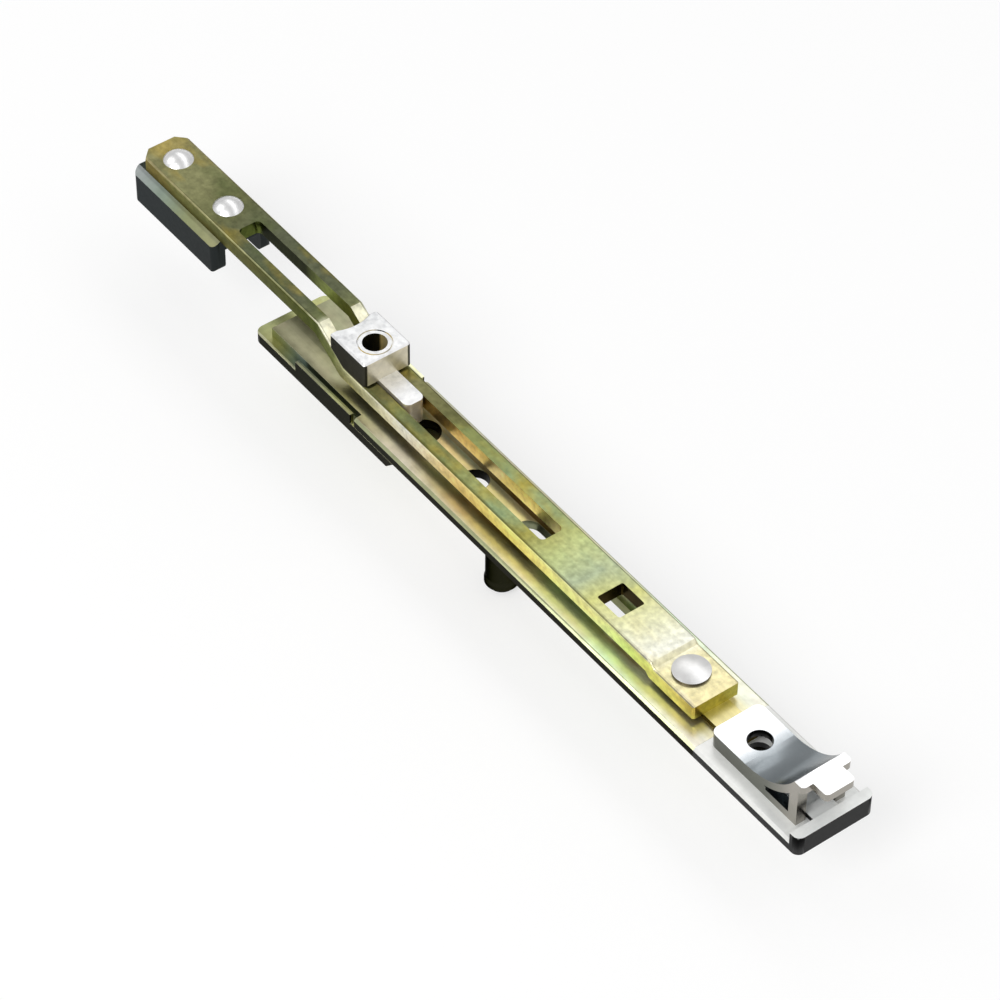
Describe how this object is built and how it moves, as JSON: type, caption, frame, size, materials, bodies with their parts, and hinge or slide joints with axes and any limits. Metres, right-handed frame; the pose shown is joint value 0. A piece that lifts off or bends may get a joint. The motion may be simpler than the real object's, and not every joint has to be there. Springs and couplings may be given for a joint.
{
  "type": "tilt and turn window gearbox",
  "caption": "Drive rod sliding over a faceplate strip of a tilt and turn window gear, with coupling shoe, guide block, roller stud and a raised coupling hook at the end.",
  "frame": {"origin": "axis of the guide block's screw hole, at the faceplate's inner face", "axes": "+X along the strip towards the coupling hook, +Z from the faceplate up towards the drive rod"},
  "size_m": [0.1909, 0.016, 0.0263],
  "materials": {
    "plate_steel": "yellow-passivated zinc on steel",
    "rod_steel": "yellow-passivated zinc on steel",
    "block_zinc": "cast zinc, slightly mottled",
    "shoe_zinc": "dark cast zinc",
    "casting_zinc": "bright cast zinc",
    "bridge_nickel": "bright nickel",
    "rivet_steel": "bright steel",
    "stud_steel": "dark steel",
    "roller_black": "black coating, satin"
  },
  "bodies": {
    "strip": {"faceplate": "plate_steel", "join_plate": "plate_steel", "guide_block": "block_zinc", "end_casting": "casting_zinc", "casting_rivets": "rivet_steel", "hook_bridge": "bridge_nickel", "guide_stud": "stud_steel"},
    "drive": {"drive_rod": "rod_steel", "coupling_shoe": "shoe_zinc", "coupling_rivets": "rivet_steel", "guide_tongue": "rod_steel", "nose_rivet": "rivet_steel"},
    "roller": {"stud_roller": "roller_black"}
  },
  "joints": [
    {"name": "drive_slide", "type": "slide", "parent": "strip", "child": "drive", "axis": [1, 0, 0], "range_m": [-0.036, 0]},
    {"name": "roller_spin", "type": "hinge", "parent": "strip", "child": "roller", "pos_m": [0.0392, -0.0019, -0.0084], "axis": [0, 0, 1], "continuous": true}
  ]
}
